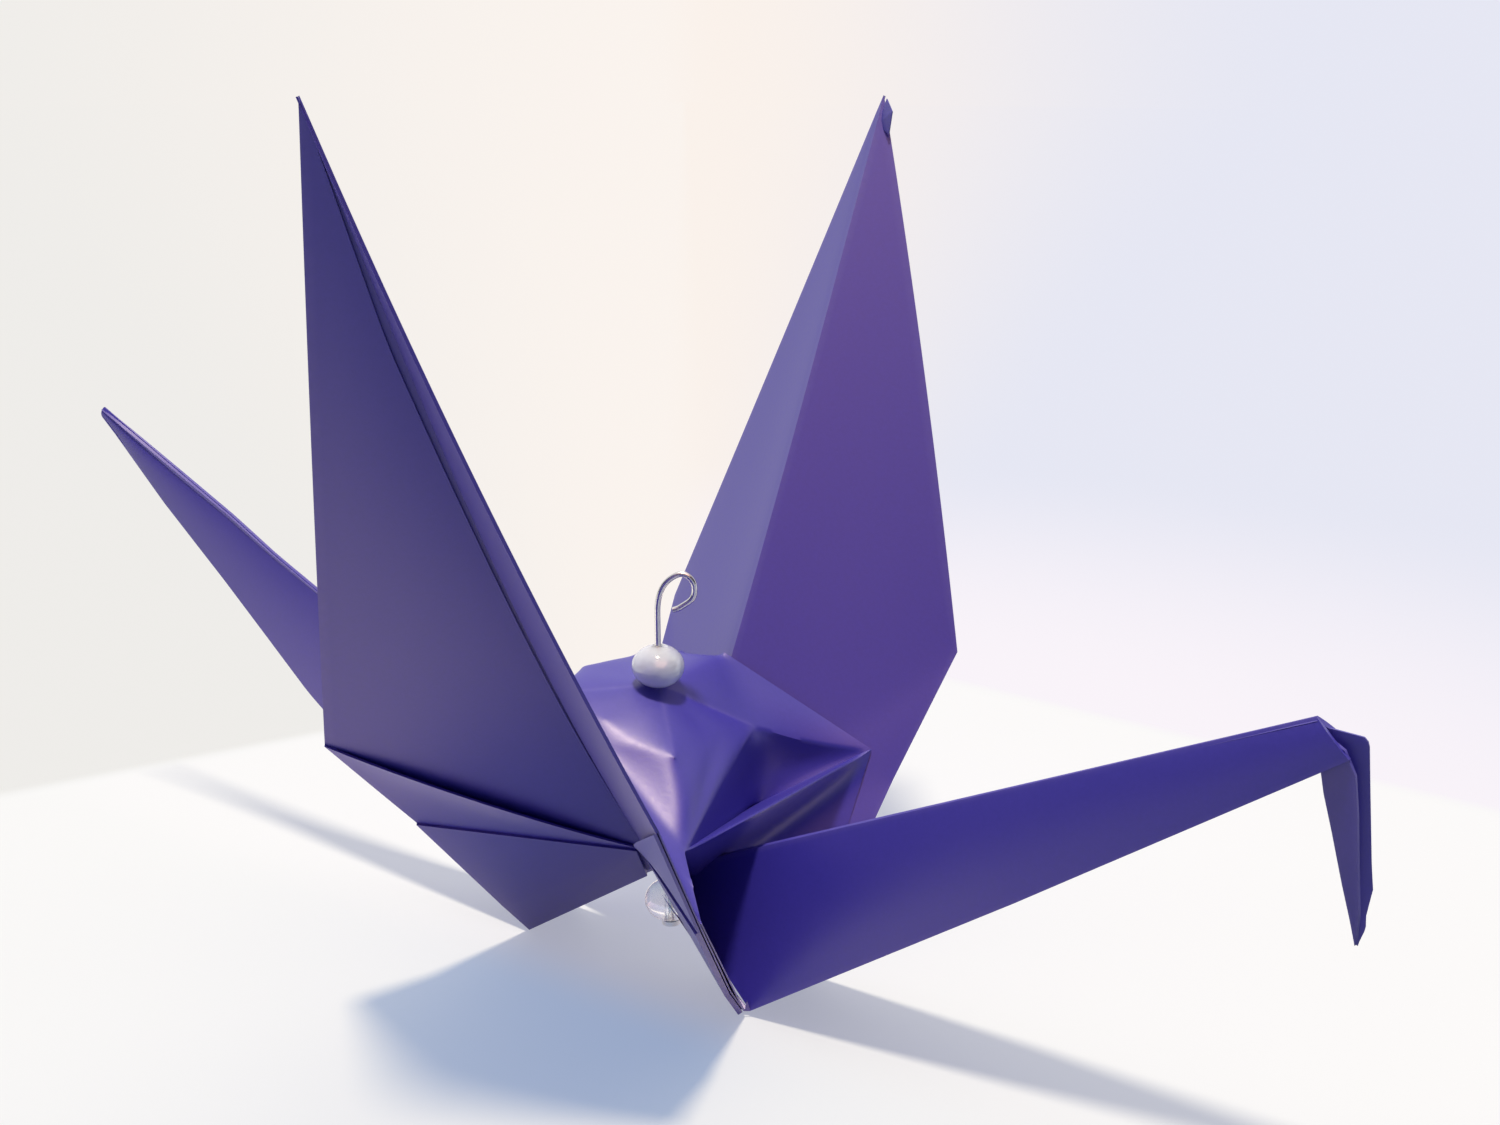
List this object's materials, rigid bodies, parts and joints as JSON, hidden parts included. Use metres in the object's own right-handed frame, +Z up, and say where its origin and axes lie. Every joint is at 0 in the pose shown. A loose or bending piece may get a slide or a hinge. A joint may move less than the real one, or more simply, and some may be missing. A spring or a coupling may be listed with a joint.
{
  "type": "origami crane",
  "caption": "Folded paper crane with raised wings, puffed body, long neck and tail, strung on a wire with a pearl bead above and below and a small hanging eye.",
  "frame": {"origin": "centre of the bounding box, on the table under the feet", "axes": "+X towards the head, +Y towards the wing that is farther away in the picture, +Z up"},
  "size_m": [0.1266, 0.0714, 0.0736],
  "materials": {
    "paper": "satin",
    "pearl": "gloss",
    "wire": "gloss"
  },
  "bodies": {
    "root": {"folded_sheet": "paper", "top_bead": "pearl", "lower_bead": "pearl", "head_pin": "wire"}
  },
  "joints": []
}
